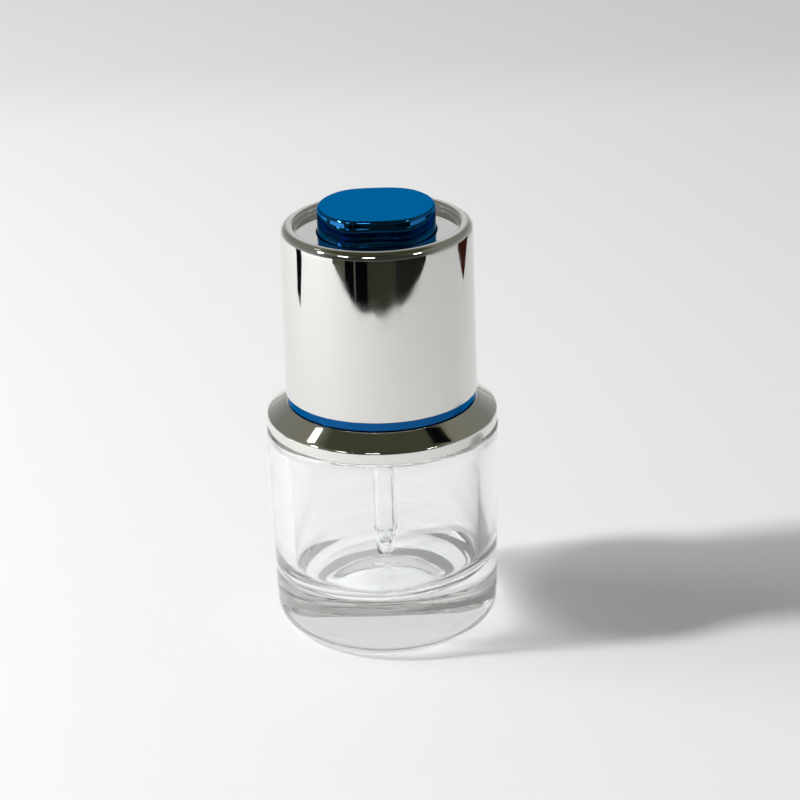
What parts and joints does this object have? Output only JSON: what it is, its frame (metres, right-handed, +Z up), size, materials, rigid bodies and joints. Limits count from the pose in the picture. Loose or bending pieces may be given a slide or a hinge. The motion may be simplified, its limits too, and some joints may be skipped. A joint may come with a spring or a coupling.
{
  "type": "dropper bottle",
  "caption": "Clear glass bottle with a thick base, a mirror-bright collar and screw closure, a blue push button and ring, and a glass pipette inside.",
  "frame": {"origin": "on the bottle's axis, at the plane that its base stands on", "axes": "+Z up along the bottle's axis; +Y is the back, and the button's two flats face -Y and +Y; +X is to the right"},
  "size_m": [0.0388, 0.0388, 0.0742],
  "materials": {
    "clear_glass": "polished",
    "pipette_glass": "polished",
    "bright_metal": "polished",
    "blue_metallised": "gloss",
    "white_plastic": "satin",
    "soft_plastic": "matte",
    "bulb_rubber": "matte"
  },
  "bodies": {
    "bottle": {"glass_bottle": "clear_glass", "shoulder_collar": "bright_metal", "collar_liner": "white_plastic", "neck_wiper": "soft_plastic"},
    "dropper": {"neck_gasket": "soft_plastic", "pipette_holder": "white_plastic", "glass_pipette": "pipette_glass"},
    "closure": {"inner_cap": "white_plastic", "accent_ring": "blue_metallised", "cap_shell": "bright_metal", "button_guide": "white_plastic", "rubber_bulb": "bulb_rubber"},
    "button": {"push_button": "blue_metallised", "button_plunger": "white_plastic"}
  },
  "joints": [
    {"name": "closure_lift", "type": "slide", "parent": "bottle", "child": "dropper", "axis": [0, 0, 1], "range_m": [0, 0.00636]},
    {"name": "closure_turn", "type": "hinge", "parent": "dropper", "child": "closure", "pos_m": [0, 0, 0.05], "axis": [0, 0, 1], "range_deg": [0, 720]},
    {"name": "button_press", "type": "slide", "parent": "closure", "child": "button", "axis": [0, 0, -1], "range_m": [0, 0.003], "stiffness_N_per_m": 1500, "springref_m": -0.001, "deforming": ["rubber_bulb"]}
  ],
  "couplings": [
    {"joint": "closure_lift", "follows": "closure_turn", "m_per_rad": 0.00050532}
  ]
}
